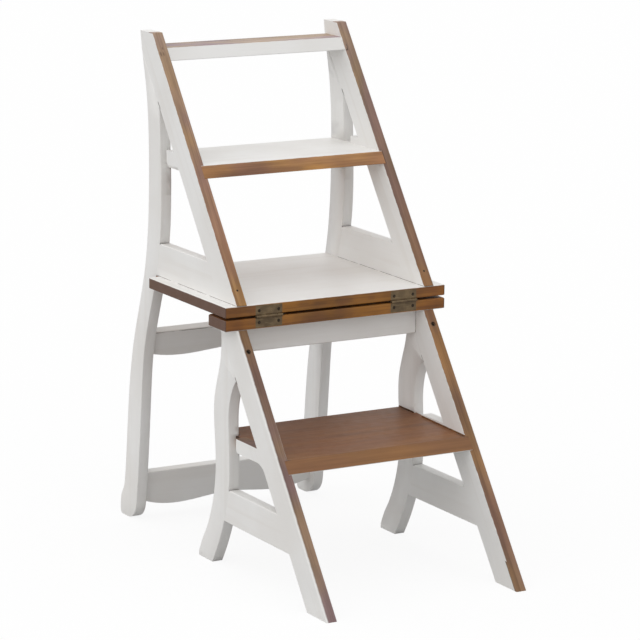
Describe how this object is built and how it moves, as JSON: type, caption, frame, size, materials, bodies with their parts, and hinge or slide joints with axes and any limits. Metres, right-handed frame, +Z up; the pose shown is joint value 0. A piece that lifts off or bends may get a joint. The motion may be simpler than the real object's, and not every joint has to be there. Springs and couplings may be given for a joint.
{
  "type": "step_ladder_chair",
  "caption": "wooden library chair whose rear half flips forward on a hinged seat to unfold into a step ladder, painted white with brown stained treads and edges",
  "frame": {"origin": "on the floor, in the middle of the unfolded ladder's outline", "axes": "+Z up, -Y the side that is climbed, +X to the right of a viewer who faces the steps"},
  "size_m": [0.436, 0.76, 0.9],
  "materials": {
    "white_painted_wood": "satin paint",
    "brown_stained_wood": "stained and varnished",
    "beech_dowel": "bare",
    "aged_brass": "antique patina",
    "dark_steel": "dark oxide"
  },
  "bodies": {
    "front_half": {"base_stringer_left": "white_painted_wood", "base_stringer_right": "white_painted_wood", "front_leg_left": "white_painted_wood", "front_leg_right": "white_painted_wood", "base_rail_left": "white_painted_wood", "base_rail_right": "white_painted_wood", "base_step": "brown_stained_wood", "front_seat_board": "brown_stained_wood", "seat_apron": "white_painted_wood", "hinge_base_leaf_left": "aged_brass", "hinge_base_leaf_right": "aged_brass", "hinge_pin_left": "dark_steel", "hinge_pin_right": "dark_steel", "hinge_screws_base": "dark_steel", "leg_screws": "dark_steel", "front_board_dowels": "beech_dowel"},
    "rear_half": {"post_left": "white_painted_wood", "post_right": "white_painted_wood", "upper_stringer_left": "white_painted_wood", "upper_stringer_right": "white_painted_wood", "upper_rail_left": "white_painted_wood", "upper_rail_right": "white_painted_wood", "rear_seat_board": "white_painted_wood", "middle_step": "white_painted_wood", "top_step": "white_painted_wood", "back_slat": "white_painted_wood", "crest_rail": "white_painted_wood", "hinge_flip_leaf_left": "aged_brass", "hinge_flip_leaf_right": "aged_brass", "hinge_screws_flip": "dark_steel", "stringer_nails": "dark_steel", "rear_board_dowels": "beech_dowel"}
  },
  "joints": [
    {"name": "fold", "type": "hinge", "parent": "front_half", "child": "rear_half", "pos_m": [0, -0.0665, 0.45], "axis": [1, 0, 0], "range_deg": [0, 180]}
  ]
}
